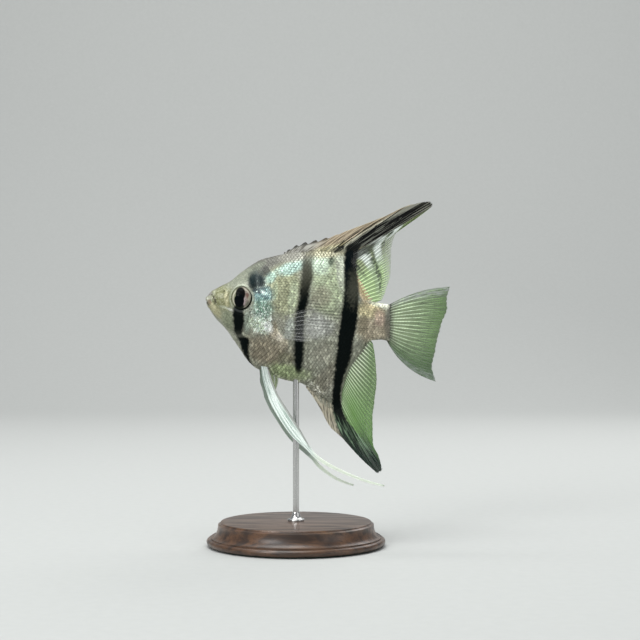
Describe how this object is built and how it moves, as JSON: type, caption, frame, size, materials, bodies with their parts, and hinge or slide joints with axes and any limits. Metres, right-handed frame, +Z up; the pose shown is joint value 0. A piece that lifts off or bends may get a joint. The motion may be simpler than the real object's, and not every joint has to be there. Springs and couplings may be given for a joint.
{
  "type": "freshwater angelfish",
  "caption": "Still life-size museum model of a barred silver freshwater angelfish, held by a rod on a round wooden display base.",
  "frame": {"origin": "middle of the stand's flat underside, on the floor straight below the rod", "axes": "+Z up; the fish faces -X and its left flank faces -Y"},
  "size_m": [0.0801, 0.058, 0.1123],
  "materials": {
    "head_skin": "satin grey-beige skin with a dark bar through the eye",
    "gill_skin": "iridescent blue-green gill cover",
    "flank_skin": "silvery scales with black upright bars",
    "fin": "thin see-through membrane with pale rays",
    "pelvic": "pale blue-white feeler-like fins",
    "eye": "wet, polished",
    "stand_wood": "dark turned walnut, satin lacquer",
    "stand_metal": "fine brushed steel"
  },
  "bodies": {
    "root": {"head": "head_skin", "lower_jaw": "head_skin", "gill_cover_left": "gill_skin", "gill_cover_right": "gill_skin", "trunk": "flank_skin", "tail_stalk": "flank_skin", "eye_left": "eye", "eye_right": "eye", "dorsal_fin": "fin", "anal_fin": "fin", "caudal_fin": "fin", "pectoral_fin_left": "fin", "pectoral_fin_right": "fin", "pelvic_fin_left": "pelvic", "pelvic_fin_right": "pelvic", "stand_base": "stand_wood", "stand_collar": "stand_metal", "stand_rod": "stand_metal"}
  },
  "joints": []
}
